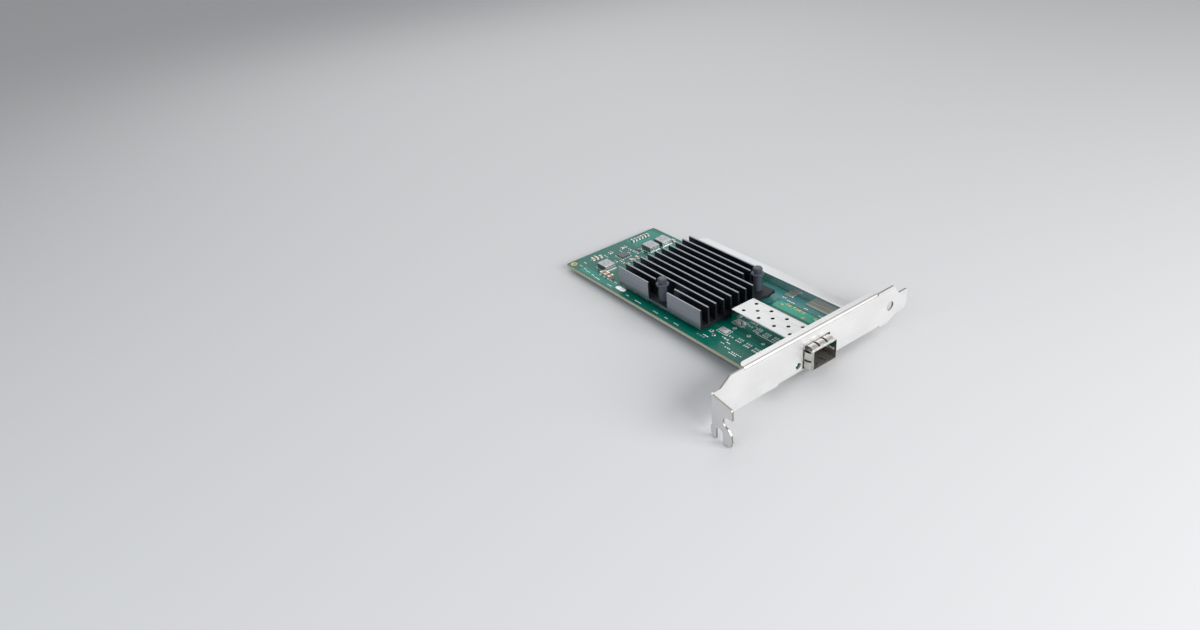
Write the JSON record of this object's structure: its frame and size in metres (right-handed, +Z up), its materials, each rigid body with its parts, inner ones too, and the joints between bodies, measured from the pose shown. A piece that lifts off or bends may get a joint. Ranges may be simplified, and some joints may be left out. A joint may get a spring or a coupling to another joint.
{
  "type": "network interface card",
  "caption": "Low-profile network card on a full-height panel bracket, with a module cage, a finned heatsink on push pins and a contact edge.",
  "frame": {"origin": "on the bracket plate's outer face, level with the board's component side and its contact edge", "axes": "+X back from the bracket along the board, +Y across the board towards the screw tab, +Z up out of the board's component side"},
  "size_m": [0.1624, 0.1201, 0.0248],
  "materials": {
    "solder_mask": "green solder mask, semi-gloss",
    "gold": "gold plating",
    "nickel_steel": "bright nickel plating",
    "screw_steel": "zinc plating",
    "nickel_sheet": "polished nickel plating",
    "spring_sheet": "satin spring sheet",
    "black_plastic": "moulded",
    "clear_green": "clear moulding with a green tint",
    "package": "moulded package",
    "grey_pad": "soft pad",
    "black_anodised": "black anodised",
    "pin_plastic": "moulded",
    "ferrite": "moulded grey body, metal clips",
    "tan_ceramic": "fired ceramic with tinned ends"
  },
  "bodies": {
    "root": {"board": "solder_mask", "edge_contacts": "gold", "bracket": "nickel_steel", "bracket_screws": "screw_steel", "cage_shell": "nickel_sheet", "cage_floor": "nickel_sheet", "finger_collar": "spring_sheet", "host_socket": "black_plastic", "socket_pins": "gold", "port_light": "clear_green", "controller_chip": "package", "thermal_pad": "grey_pad", "heatsink": "black_anodised", "push_pins": "pin_plastic", "edge_rail": "nickel_steel", "inductors": "ferrite", "large_capacitors": "tan_ceramic", "row_capacitors": "tan_ceramic", "small_capacitors": "tan_ceramic", "resistors": "package", "underside_capacitors": "tan_ceramic", "regulator_chip": "package", "driver_chip": "package", "flash_chip": "package", "crystal": "nickel_sheet"}
  },
  "joints": []
}
